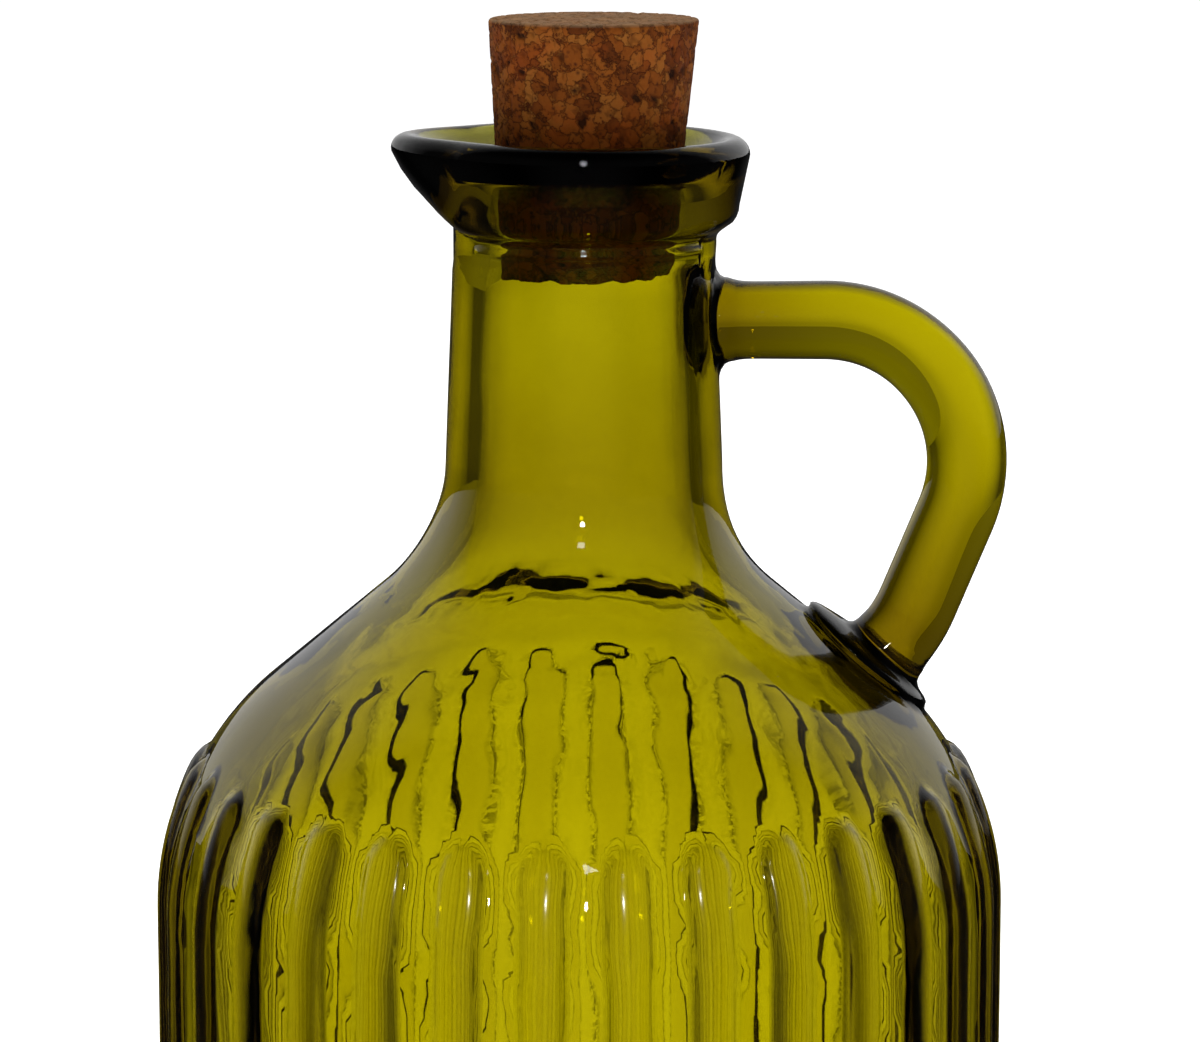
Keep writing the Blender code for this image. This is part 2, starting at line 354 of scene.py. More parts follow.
@dataclass
class Lip:
    """The thick lip with its dished mouth and pinched spout."""

    profile: Profile
    radius: float = 23.2 * MM
    depth: float = 12.9 * MM
    step: float = 0.8 * MM
    lower_radius: float = 21.75 * MM
    lower_arc: float = 3.5 * MM
    tilt: float = 0.012
    rim_arc: float = 2.4 * MM
    bore_radius: float = 13.7 * MM
    bore_top_depth: float = 4.8 * MM
    bore_end_depth: float = 13.5 * MM
    bore_edge: float = 0.6 * MM
    bore_edge_out: float = 0.5 * MM
    bore_edge_rise: float = 0.2 * MM
    bore_shift: float = 0.4 * MM
    rim_turn: float = 120.0
    lower_turn: float = 80.0
    neck_inside_depth: float = 18.5 * MM
    spout_reach: float = 3.9 * MM
    spout_depth: float = 9.0 * MM
    spout_half_angle: float = 42.0
    ring_radius: float = 18.75 * MM
    ring_depth: float = 15.0 * MM
    ring_start: Pair = (-0.1 * MM, 0.5 * MM)
    ring_end: Pair = (0.05 * MM, -0.7 * MM)
    # Where the painted dark shade on the dish starts below the bore's top, and how far it fades.
    dish_shade_below: float = 2.0 * MM
    dish_shade_fade: float = 1.5 * MM

    def draw_mouth(self, pen: Outline) -> None:
        """Draws the bore, the dish, the rim and the lip.

        Args:
            pen: Stands on the neck's inner wall, and ends on its outer wall.
        """
        top = self.profile.height
        neck_radius = self.profile.neck_top_radius
        bore_top = top - self.bore_top_depth
        pen.line(self.bore_radius, top - self.bore_end_depth, 3)
        pen.line(self.bore_radius, bore_top - self.bore_edge, 3)
        pen.line(self.bore_radius + self.bore_edge_out, bore_top + self.bore_edge_rise, 2)
        start = Vector((self.radius - self.rim_arc, top - self.rim_arc))
        lean = math.radians(self.rim_turn)
        dish_end = start + self.rim_arc * Vector((math.cos(lean), math.sin(lean)))
        pen.line(dish_end.x, dish_end.y, 4)
        pen.arc((start.x, start.y), -self.rim_turn, 10)
        lower = (self.lower_radius - self.lower_arc, top - self.depth + self.lower_arc)
        pen.line(self.lower_radius, lower[1], 3)
        pen.arc(lower, -self.lower_turn, 6)
        pen.line(neck_radius, top - self.depth - self.step, 2)
        ring = top - self.ring_depth
        pen.line(self.ring_radius + self.ring_start[0], ring + self.ring_start[1], 2)
        pen.line(self.ring_radius, ring, 1)
        pen.line(neck_radius + self.ring_end[0], ring + self.ring_end[1], 2)

    def dish_share(self, place: Vector) -> float:
        """Gives how much a point is on the dish of the mouth, where the glass is painted dark as shade.

        Args:
            place: The point, before the spout is drawn.

        Returns:
            A share from 0 to 1.
        """
        low = self.profile.height - self.bore_top_depth - self.dish_shade_below
        high = eased((place.z - low) / self.dish_shade_fade)
        edge = self.radius - 1.6 * self.rim_arc
        return high * (1.0 - eased((math.hypot(place.x, place.y) - edge) / (0.6 * self.rim_arc)))

    def draw_spout(self, work: BMesh) -> None:
        """Pulls the lip out to a beak at -X, tilts it up there, and sets the bore off its middle.

        Args:
            work: The turned bottle.
        """
        dish_width = self.radius - self.rim_arc - self.bore_radius
        neck_radius = self.profile.neck_top_radius
        for vert in work.verts:
            depth = self.profile.height - vert.co.z
            radius = math.hypot(vert.co.x, vert.co.y)
            if depth > self.neck_inside_depth - MERGE or radius < MERGE:
                continue
            rise = eased((radius - self.bore_radius) / dish_width)
            inner = 1.0 - eased((radius - self.bore_radius) / (0.5 * dish_width))
            angle = abs(math.degrees(math.atan2(vert.co.y, -vert.co.x)))
            beak = 0.5 + 0.5 * math.cos(math.pi * min(angle / self.spout_half_angle, 1.0))
            pull = self.spout_reach * (1.0 - (depth / self.spout_depth) ** 2) * beak * rise
            drawn = radius + pull
            if radius > neck_radius - MERGE:
                drawn = max(drawn, neck_radius)
            vert.co.x *= drawn / radius
            vert.co.y *= drawn / radius
            vert.co.x += self.bore_shift * inner
            level = 1.0 - eased(depth / self.depth)
            vert.co.z += self.tilt * (self.radius - vert.co.x) * level


@dataclass
class Handle:
    """The round glass rod from the neck to the shoulder, and the pad that it is pressed onto."""

    profile: Profile
    radius: float = 5.4 * MM
    end_radius: float = 5.65 * MM
    start: float = 18.0 * MM
    depth: float = 25.7 * MM
    top_run: float = 16.5 * MM
    bend: float = 20.1 * MM
    bend_turn: float = 112.5
    leg_run: float = 13.5 * MM
    heel_turn: float = 17.0
    end_run: float = 5.0 * MM
    in_wall: float = 1.5 * MM
    flare: float = 0.16
    flare_length: float = 2.2 * MM
    sides: int = 40
    waver: Ripple = Ripple(9.0 * MM, 31.0, 0.04 * MM)
    pad_length: float = 22.5 * MM
    pad_width: float = 18.0 * MM
    pad_rise: float = 1.75 * MM
    pad_sink: float = 0.75 * MM
    pad_root: float = 1.9 * MM
    pad_shift: float = 1.4 * MM
    pad_waver: Ripple = Ripple(6.0 * MM, 12.0, 0.25 * MM)
    pad_steepness: float = 0.6
    pad_wrap: float = 68.0 * MM
    brown_start: float = 0.92
    brown_start_end: float = 0.45
    brown_end: float = 1.0
    brown_end_start: float = 0.50
    brown_end_full: float = 0.92
    brown_off_rod: Pair = (1.3, 1.7)
    brown_pad: float = 11.5 * MM
    brown_off_pad: Pair = (0.8, 1.1)

    def path(self) -> list[tuple[Vector, float]]:
        """Gives the centre line from the neck to the pad.

        Returns:
            Its points, each with the line's heading there in radians above +X.
        """
        bend_run = self.bend * math.radians(self.bend_turn)
        heel_run = self.bend * math.radians(self.heel_turn)
        runs = (
            (self.top_run, 0.0, 22),
            (bend_run, self.bend_turn, 36),
            (self.leg_run, 0.0, 10),
            (heel_run, self.heel_turn, 6),
            (self.end_run, 0.0, 8),
        )
        place, heading = Vector((self.start, 0.0, self.profile.height - self.depth)), 0.0
        points = [(place.copy(), heading)]
        for length, turn, steps in runs:
            for _ in range(steps):
                heading -= math.radians(turn) / steps / 2
                place += Vector((math.cos(heading), 0.0, math.sin(heading))) * (length / steps)
                heading -= math.radians(turn) / steps / 2
                points.append((place.copy(), heading))
        return points

    def ring_radius(self, place: Vector, share: float, ends: tuple[Vector, Vector]) -> float:
        """Gives the rod's radius at a point of its centre line.

        Args:
            place: The point.
            share: How far along the rod it is, from 0 to 1.
            ends: The two ends of the centre line.

        Returns:
            The radius in metres, wider where the rod runs into the bottle.
        """
        near = min((place - end).length for end in ends) - self.in_wall
        near = max(near, 0.0) / self.flare_length
        grown = self.radius + (self.end_radius - self.radius) * min(2.0 * share, 1.0)
        return grown * (1.0 + self.flare * math.exp(-near * near))

    def brown_at(self, place: Vector, points: list[tuple[Vector, float]]) -> float:
        """Gives how brown the glass of the rod and the pad is at a point.

        Args:
            place: The point.
            points: The rod's centre line.

        Returns:
            A share from 0 to 1, highest at the rod's ends and round the pad.
        """
        gaps = [(place - point).length for point, _ in points]
        gap = min(gaps)
        share = gaps.index(gap) / (len(points) - 1)
        on_rod = 1.0 - step_between(gap / self.radius, *self.brown_off_rod)
        start = self.brown_start * (1.0 - eased(share / self.brown_start_end))
        end = self.brown_end * step_between(share, self.brown_end_start, self.brown_end_full)
        pad = 1.0 - step_between(gaps[-3] / self.brown_pad, *self.brown_off_pad)
        return max(on_rod * max(start, end), pad)

    def build_rod(self) -> Object:
        """Pushes a ring of points along the path.

        Returns:
            The rod, closed at both ends.
        """
        points = self.path()
        ends = (points[0][0], points[-1][0])
        work = bmesh.new()
        ring = bmesh.ops.create_circle(work, cap_ends=True, segments=self.sides, radius=1.0)["verts"]
        edges = list({edge for vert in ring for edge in vert.link_edges})
        stand = Matrix.Identity(4)
        for i, (place, heading) in enumerate(points):
            radius = self.ring_radius(place, i / (len(points) - 1), ends)
            face_on = Matrix.Rotation(math.pi / 2 - heading, 4, "Y")
            pose = Matrix.Translation(place) @ face_on @ Matrix.Scale(radius, 4)
            if i > 0:
                made = bmesh.ops.extrude_edge_only(work, edges=edges)["geom"]
                ring = [item for item in made if isinstance(item, BMVert)]
                edges = [item for item in made if isinstance(item, BMEdge)]
            bmesh.ops.transform(work, matrix=pose @ stand.inverted(), verts=ring)
            stand = pose
        bmesh.ops.contextual_create(work, geom=edges)
        bmesh.ops.recalc_face_normals(work, faces=work.faces)
        work.normal_update()
        for vert in work.verts:
            vert.co += vert.normal * self.waver.at(vert.co)
        return object_from(work, "handle_rod")

    def build_pad(self) -> Object:
        """Presses a ball into the oval pad, bent over the shoulder.

        Returns:
            The pad, its root sunk in the wall.
        """
        place, heading = self.path()[-1]
        into_wall = Vector((math.cos(heading), 0.0, math.sin(heading)))
        surface = place - into_wall * (self.in_wall - self.pad_sink)
        work = bmesh.new()
        bmesh.ops.create_uvsphere(work, u_segments=56, v_segments=28, radius=1.0)
        for vert in work.verts:
            vert.co.x = 0.5 * self.pad_length * vert.co.x - self.pad_shift
            vert.co.y *= 0.5 * self.pad_width
            if vert.co.z > 0.0:
                vert.co.z = self.pad_rise * vert.co.z**self.pad_steepness
            else:
                vert.co.z *= self.pad_root
            vert.co.z += self.pad_waver.at(vert.co)
            downhill = max(vert.co.x, 0.0)
            vert.co.z -= 0.5 * downhill * downhill / self.profile.shoulder_arc
            vert.co.z -= 0.5 * vert.co.y * vert.co.y / self.pad_wrap
        lean = Matrix.Rotation(-math.pi / 2 - heading, 4, "Y")
        bmesh.ops.transform(work, matrix=Matrix.Translation(surface) @ lean, verts=work.verts)
        return object_from(work, "handle_pad")


@dataclass
class Bottle:
    """The glass bottle in one piece: turned wall, ribs, lip, spout, handle and pad."""

    profile: Profile = field(default_factory=Profile)
    body_wall: float = 4.4 * MM
    neck_wall: float = 4.6 * MM
    heel: float = 10.0 * MM
    heel_inside: float = 8.0 * MM
    foot_width: float = 5.0 * MM
    punt_rise: float = 2.4 * MM
    punt_slope: float = 3.6 * MM
    floor: float = 5.6 * MM
    floor_rise: float = 1.2 * MM
    waves_inside: tuple[Ripple, ...] = (
        Ripple(6.5 * MM, 3.0, 0.062 * MM),
        Ripple(3.2 * MM, 6.0, 0.0248 * MM),
        Ripple(19.0 * MM, 8.0, 0.1364 * MM),
    )
    waves_outside: tuple[Ripple, ...] = (
        Ripple(10.0 * MM, 17.0, 0.018 * MM),
        Ripple(4.0 * MM, 2.0, 0.009 * MM),
    )
    calm_top: Pair = (14.0 * MM, 22.0 * MM)
    calm_foot: Pair = (4.0 * MM, 14.0 * MM)
    least_outside: float = 0.4
    wedge_depth: float = 0.6 * MM
    wedge_middle: float = 116.0 * MM
    wedge_half: float = 9.0 * MM
    settle_height: float = 119.5 * MM
    settle_depth: float = 1.4 * MM
    settle_length: float = 6.0 * MM
    settle_sharpness: float = 6.0
    settle_middle: float = 4.0 * MM
    settle_turn: Pair = (30.0, 70.0)
    settle_lost: float = 0.85
    settle_drift: tuple[Ripple, ...] = (
        Ripple(12.0 * MM, 21.0, 2.6 * MM),
        Ripple(4.0 * MM, 5.0, 2.0 * MM),
        Ripple(2.2 * MM, 7.0, 0.8 * MM),
    )
    settle_least: float = 0.75
    settle_uneven: Ripple = Ripple(11.0 * MM, 40.0, 0.6)
    brown_neck: float = 0.36
    brown_height: float = 139.0 * MM
    brown_above: float = 31.0 * MM
    brown_below: float = 17.0 * MM
    handle_from: float = 17.0 * MM
    handle_half: float = 12.0 * MM
    seam_width: float = 1.7 * MM
    seam_angle: float = 14.0
    seam_reach: float = 15.0 * MM
    seam_rings: int = 3
    seam_rounds: int = 12

    def __post_init__(self) -> None:
        """Makes the parts that share the bottle's profile."""
        self.ribs = Ribs(self.profile)
        self.lip = Lip(self.profile)
        self.handle = Handle(self.profile)

    def draw_inside(self, pen: Outline) -> None:
        """Draws the inner wall upwards.

        Args:
            pen: Stands in the middle of the floor, and ends under the bore.
        """
        shape = self.profile
        bell = shape.bell(self.body_wall, self.neck_wall)
        radius = shape.body_radius - self.body_wall
        pen.line(0.5 * radius, self.floor + 0.75 * self.floor_rise, 3)
        pen.line(radius - self.heel_inside, self.floor, 4)
        pen.arc((radius - self.heel_inside, self.floor + self.heel_inside), 90.0, 6)
        pen.line(radius, bell.bend_centre[1], 16)
        pen.arc(bell.bend_centre, shape.shoulder_turn, 16)
        pen.line(*bell.flare_end, 20)
        pen.arc(bell.flare_centre, -shape.shoulder_turn, 11)
        top_radius = shape.neck_top_radius - self.neck_wall
        pen.line(top_radius, shape.height - self.lip.neck_inside_depth, 10)

    def draw_outside(self, pen: Outline) -> None:
        """Draws the outer wall downwards.

        Args:
            pen: Stands under the lip, and ends in the middle of the punt.
        """
        shape = self.profile
        bell = shape.bell()
        pen.line(shape.neck_foot_radius, shape.neck_foot, 21)
        pen.arc(bell.flare_centre, shape.shoulder_turn, 14)
        pen.line(*bell.bend_start, 9)
        pen.arc(bell.bend_centre, -0.55 * shape.shoulder_turn, 16)
        pen.arc(bell.bend_centre, -0.45 * shape.shoulder_turn, 10)
        pen.line(shape.body_radius, self.heel, 22)
        pen.arc((shape.body_radius - self.heel, self.heel), -90.0, 8)
        foot_edge = shape.body_radius - self.heel - self.foot_width
        pen.line(foot_edge, 0.0, 2)
        pen.line(foot_edge - self.punt_slope, self.punt_rise, 2)
        pen.line(0.0, self.punt_rise, 3)

    def turn_body(self) -> BMesh:
        """Spins one outline round the axis, and shapes the ribs, the waves and the spout.

        Returns:
            The bottle without its handle, with its points marked for the finish.
        """
        work = bmesh.new()
        side = work.verts.layers.int.new("wall")
        pen = Outline.start(work, 0.0, self.floor + self.floor_rise)
        self.draw_inside(pen)
        inner = set(work.verts)
        self.lip.draw_mouth(pen)
        self.draw_outside(pen)
        for vert in work.verts:
            vert[side] = Wall.INSIDE.value if vert in inner else Wall.OUTSIDE.value
        spin_outline(work, self.ribs.start, self.ribs.segments)
        self.ribs.gather_columns(work)
        self.raise_ribs(work)
        self.make_uneven(work)
        self.lip.draw_spout(work)
        for vert in work.verts:
            vert.co.x += self.profile.shift_at(vert.co.z)
        return work

    def raise_ribs(self, work: BMesh) -> None:
        """Lifts the ribs out of the outer wall, and marks the points for the finish, with the painted
        shade of the root lines and the dish.

        Args:
            work: The turned bottle, its sides marked.
        """
        side = work.verts.layers.int["wall"]
        root_shade, dish_shade, brown, rib = (
            work.verts.layers.float.new(name) for name in ("root_shade", "dish_shade", "brown", "rib")
        )
        low, high = self.ribs.zone
        work.normal_update()
        for vert in work.verts:
            # Painted dark shade on the dish of the mouth.
            vert[dish_shade] = self.lip.dish_share(vert.co)
            above = vert.co.z - self.brown_height
            reach = self.brown_above if above > 0.0 else self.brown_below
            vert[brown] = self.brown_neck * (1.0 - eased(abs(above) / reach))
            if vert[side] != Wall.OUTSIDE.value or not low <= vert.co.z <= high:
                continue
            proud, root = self.ribs.shape_at(vert.co)
            # Painted shade along the ribs' root lines.
            vert[root_shade] = root
            vert[rib] = min(2.0 * proud / self.ribs.height, 1.0)
            vert.co += vert.normal * proud

    def thickness_added(self, place: Vector) -> float:
        """Gives how much further in the inner wall stands, for the uneven blown glass.

        Args:
            place: Point on the inner wall.

        Returns:
            The glass added there, in metres.
        """
        above = (place.z - self.wedge_middle) / self.wedge_half
        wedge = -self.wedge_depth * above * math.exp(0.5 - 0.5 * above * above)
        return wedge + rippled(self.waves_inside, place) + self.settle_wave(place)

    def settle_wave(self, place: Vector) -> float:
        """Gives the wrinkle where the first glass settled under the neck.

        Args:
            place: Point on the inner wall.

        Returns:
            The glass added there, in metres, least at the front.
        """
        behind = abs(math.degrees(math.atan2(place.x - self.settle_middle, place.y)))
        off = (place.z - self.settle_height + rippled(self.settle_drift, place)) / self.settle_length
        strength = 1.0 - self.settle_lost * step_between(behind, *self.settle_turn)
        strength *= self.settle_least + self.settle_uneven.at(place)
        return self.settle_depth * strength * math.exp(-self.settle_sharpness * off * off)

    def make_uneven(self, work: BMesh) -> None:
        """Moves both walls a little in and out, as in hand-worked recycled glass.

        Args:
            work: The turned bottle, its sides marked.
        """
        side = work.verts.layers.int["wall"]
        work.normal_update()
        for vert in work.verts:
            fade = step_between(self.profile.height - vert.co.z, *self.calm_top)
            fade *= step_between(vert.co.z, *self.calm_foot)
            if vert[side] == Wall.INSIDE.value:
                vert.co += vert.normal * self.thickness_added(vert.co) * fade
            else:
                wave = rippled(self.waves_outside, vert.co)
                vert.co += vert.normal * wave * max(fade, self.least_outside)

    def fuse(self, body: Object, added: list[Object]) -> None:
        """Fuses pieces onto the body, and removes them.

        Args:
            body: The turned bottle, whose mesh is replaced.
            added: The handle's rod and pad.
        """
        group = bpy.data.collections.new("fused_on")
        for piece in added:
            group.objects.link(piece)
        union = body.modifiers.new("fuse", "BOOLEAN")
        union.operation = "UNION"
        union.operand_type = "COLLECTION"
        union.collection = group
        union.solver = "MANIFOLD"
        graph = bpy.context.evaluated_depsgraph_get()
        fused = bpy.data.meshes.new_from_object(body.evaluated_get(graph))
        body.modifiers.clear()
        body.data = fused
        for piece in added:
            bpy.data.objects.remove(piece, do_unlink=True)
        bpy.data.collections.remove(group)

    def soften_seams(self, mesh: Mesh) -> None:
        """Rounds the inner corners where the rod and the pad meet the bottle, and browns the handle.

        Args:
            mesh: The fused bottle.
        """
        work = bmesh.new()
        work.from_mesh(mesh)
        bmesh.ops.remove_doubles(work, verts=work.verts, dist=4.0 * MERGE)
        points = self.handle.path()
        ends = (points[2][0], points[-3][0])
        seam = set()
        flat = -math.radians(self.seam_angle)
        for edge in work.edges:
            if len(edge.link_faces) != 2 or edge.calc_face_angle_signed() > flat:
                continue
            middle = (edge.verts[0].co + edge.verts[1].co) / 2
            close = min((middle - end).length for end in ends) < self.seam_reach
            if close and middle.x > self.handle_from:
                seam.update(edge.verts)
        near = set(seam)
        for _ in range(self.seam_rings):
            near.update([other.other_vert(vert) for vert in list(near) for other in vert.link_edges])
        away = {vert: min((vert.co - mark.co).length for mark in seam) for vert in near}
        near = [vert for vert in near if away[vert] < self.seam_width]
        axes = {"use_axis_x": True, "use_axis_y": True, "use_axis_z": True}
        for _ in range(self.seam_rounds):
            bmesh.ops.smooth_vert(work, verts=near, factor=0.5, **axes)
        bmesh.ops.dissolve_degenerate(work, edges=work.edges, dist=2.0 * MERGE)
        brown = work.verts.layers.float["brown"]
        for vert in work.verts:
            if vert.co.x > self.handle_from and abs(vert.co.y) < self.handle_half:
                vert[brown] = max(vert[brown], self.handle.brown_at(vert.co, points))
        work.to_mesh(mesh)
        work.free()

    def build(self) -> Object:
        """Makes the bottle, with its handle fused on.

        Returns:
            The finished bottle.
        """
        body = object_from(self.turn_body(), "glass_bottle")
        self.fuse(body, [self.handle.build_rod(), self.handle.build_pad()])
        self.soften_seams(body.data)
        body.data.shade_smooth()
        return body


@dataclass
class Cork:
    """The tapered cork of pressed granules, cut level, leaning a little towards the handle."""

    rim: float = 190.0 * MM
    top_radius: float = 14.65 * MM
    end_radius: float = 11.85 * MM
    length: float = 35.8 * MM
    above_rim: float = 16.5 * MM
    top_shift: float = 2.1 * MM
    lean: float = 1.8
    edge: float = 0.5 * MM
    segments: int = 220
    rings: int = 90
    granule: float = 3.0 * MM
    granule_warp: float = 0.5 * MM
    warp_length: float = 1.5 * MM
    crack_width: float = 0.14
    pits: Ripple = Ripple(1.7 * MM, 9.0)
    pit_edge: Pair = (0.34, 0.60)
    grain: Ripple = Ripple(0.8 * MM, 4.0)
    chewed: Ripple = Ripple(2.2 * MM, 14.0)
    chewed_from: Pair = (0.93, 0.98)
    pit_depth: float = 0.45 * MM
    crack_share: float = 0.42
    pit_share: float = 0.60
    grain_share: float = 0.12
    chewed_share: float = 1.6

    def relief_at(self, place: Vector) -> float:
        """Gives how deep the cracks between the granules and the pits cut the surface.

        Args:
            place: Point on the plain cork.

        Returns:
            The cut as a share of pit_depth.
        """
        warped = place + self.granule_warp * noise.noise_vector(place / self.warp_length)
        near, _ = noise.voronoi(warped / self.granule)
        crack = 1.0 - eased((near[1] - near[0]) / self.crack_width)
        pit = step_between(self.pits.at(place), *self.pit_edge)
        grain = 0.5 + 0.5 * self.grain.at(place)
        low = step_between(-place.z / self.length, *self.chewed_from)
        chewed = low * max(self.chewed.at(place) + 0.25, 0.0)
        cut = self.crack_share * crack + self.pit_share * pit
        return cut + self.grain_share * grain + self.chewed_share * chewed

    def build(self) -> Object:
        """Turns the cork, cuts its granules and leans it.

        Returns:
            The finished cork.
        """
        work = bmesh.new()
        pen = Outline.start(work, 0.0, 0.0)
        pen.line(self.top_radius - self.edge, 0.0, 24)
        pen.arc((self.top_radius - self.edge, -self.edge), -90.0, 3)
        pen.line(self.end_radius, self.edge - self.length, self.rings)
        pen.arc((self.end_radius - self.edge, self.edge - self.length), -90.0, 3)
        pen.line(0.0, -self.length, 16)
        spin_outline(work, 0.0, self.segments)
        cut = work.verts.layers.float.new("crevice")
        work.normal_update()
        for vert in work.verts:
            deep = self.relief_at(vert.co)
            vert[cut] = deep
            vert.co -= vert.normal * self.pit_depth * deep
        stand = Matrix.Translation((self.top_shift, 0.0, self.rim + self.above_rim))
        lean = Matrix.Identity(4)
        lean[0][2] = math.tan(math.radians(self.lean))
        bmesh.ops.transform(work, matrix=stand @ lean, verts=work.verts)
        made = object_from(work, "granule_cork")
        made.data.shade_smooth()
        return made


@dataclass
class Board:
    """Adds nodes to one node tree and links them."""

    tree: NodeTree

    def feed(self, node: Node, inputs: dict) -> None:
        """Gives a node its inputs.

        Args:
            node: The node.
            inputs: Values, or other nodes' outputs, by the input's name or place.
        """
        for name, value in inputs.items():
            if isinstance(value, NodeSocket):
                self.tree.links.new(value, node.inputs[name])
            else:
                node.inputs[name].default_value = value

    def add(self, kind: str, inputs: dict | None = None, **settings: object) -> Node:
        """Adds a node.

        Args:
            kind: The node's type.
            inputs: Values, or other nodes' outputs, by the input's name or place.
            settings: The node's own properties.

        Returns:
            The new node.
        """
        node = self.tree.nodes.new(kind)
        for name, value in settings.items():
            setattr(node, name, value)
        self.feed(node, inputs or {})
        return node

    def math(self, operation: str, *values: object) -> NodeSocket:
        """Returns the output of a Math node with these inputs."""
        return self.add("ShaderNodeMath", dict(enumerate(values)), operation=operation).outputs[0]

    def attribute(self, name: str) -> NodeSocket:
        """Returns a value kept on the piece's points."""
        return self.add("ShaderNodeAttribute", attribute_name=name).outputs["Fac"]

    def cloud(self, place: NodeSocket, scale: float, detail: float) -> NodeSocket:
        """Returns a soft noise from 0 to 1."""
        inputs = {"Vector": place, "Scale": scale, "Detail": detail}
        return self.add("ShaderNodeTexNoise", inputs).outputs["Fac"]

    def ramp(self, factor: NodeSocket, stops: list[tuple[float, tuple]]) -> NodeSocket:
        """Reads a ramp of colours.

        Args:
            factor: Where the ramp is read, from 0 to 1.
            stops: Places on the ramp, each with its colour.

        Returns:
            The colour there.
        """
        node = self.add("ShaderNodeValToRGB", {"Fac": factor})
        elements = node.color_ramp.elements
        while len(elements) < len(stops):
            elements.new(0.5)
        for element, (place, colour) in zip(elements, stops):
            element.position = place
            element.color = (*colour, 1.0)
        return node.outputs["Color"]

    def mix(self, factor: NodeSocket, first: object, second: object) -> NodeSocket:
        """Returns the colour that two colours blend to, each a socket or four numbers."""
        inputs = {0: factor, 6: first, 7: second}
        return self.add("ShaderNodeMix", inputs, data_type="RGBA").outputs[2]

    def remap(
        self, value: NodeSocket, low: float, high: float, to_low: float = 0.0, to_high: float = 1.0
    ) -> NodeSocket:
        """Moves a value from one range to another.

        Args:
            value: The value.
            low: Start of its range.
            high: End of its range.
            to_low: What the start becomes.
            to_high: What the end becomes.

        Returns:
            The new value, held at its ends.
        """
        inputs = {0: value, 1: low, 2: high, 3: to_low, 4: to_high}
        return self.add("ShaderNodeMapRange", inputs).outputs[0]


def new_material(name: str) -> tuple[Material, Board]:
    """Makes a material to be filled in.

    Args:
        name: The material's name.

    Returns:
        The material, and the board of its nodes.
    """
    material = bpy.data.materials.new(name)
    material.use_nodes = True
    return material, Board(material.node_tree)


class Speckle:
    """A shared node group: fine grain and scattered specks, as values over the surface."""

    NAME = "fine_speckle"
    GRAIN_DETAIL = 3.0
    GRAIN_ROUGHNESS = 0.6
    SPECKS_LEFT_OUT = 0.6

    @classmethod
    def group(cls) -> NodeTree:
        """Makes the group the first time that it is asked for.

        Returns:
            The group.
        """
        made = bpy.data.node_groups.get(cls.NAME)
        if made is not None:
            return made
        made = bpy.data.node_groups.new(cls.NAME, "ShaderNodeTree")
        sockets = (
            ("Vector", "INPUT", "NodeSocketVector"),
            ("Grain Scale", "INPUT", "NodeSocketFloat"),
            ("Speck Scale", "INPUT", "NodeSocketFloat"),
            ("Speck Size", "INPUT", "NodeSocketFloat"),
            ("Grain", "OUTPUT", "NodeSocketFloat"),
            ("Specks", "OUTPUT", "NodeSocketFloat"),
        )
        for name, way, kind in sockets:
            made.interface.new_socket(name, in_out=way, socket_type=kind)
        board = Board(made)
        given = board.add("NodeGroupInput").outputs
        inputs = {
            "Vector": given["Vector"],
            "Scale": given["Grain Scale"],
            "Detail": cls.GRAIN_DETAIL,
            "Roughness": cls.GRAIN_ROUGHNESS,
        }
        grain = board.add("ShaderNodeTexNoise", inputs).outputs["Fac"]
        inputs = {"Vector": given["Vector"], "Scale": given["Speck Scale"]}
        cells = board.add("ShaderNodeTexVoronoi", inputs).outputs
        chance = board.add("ShaderNodeSeparateColor", {0: cells["Color"]}).outputs[0]
        chosen = board.math("GREATER_THAN", chance, cls.SPECKS_LEFT_OUT)
        away = board.math("DIVIDE", cells["Distance"], given["Speck Size"])
        near = board.math("MAXIMUM", board.math("SUBTRACT", 1.0, away), 0.0)
        specks = board.math("MULTIPLY", near, chosen)
        board.add("NodeGroupOutput", {"Grain": grain, "Specks": specks})
        return made

    @classmethod
    def place(cls, board: Board, inputs: dict) -> Node:
        """Returns the group's node in a material, with these inputs by name."""
        return board.add("ShaderNodeGroup", inputs, node_tree=cls.group())


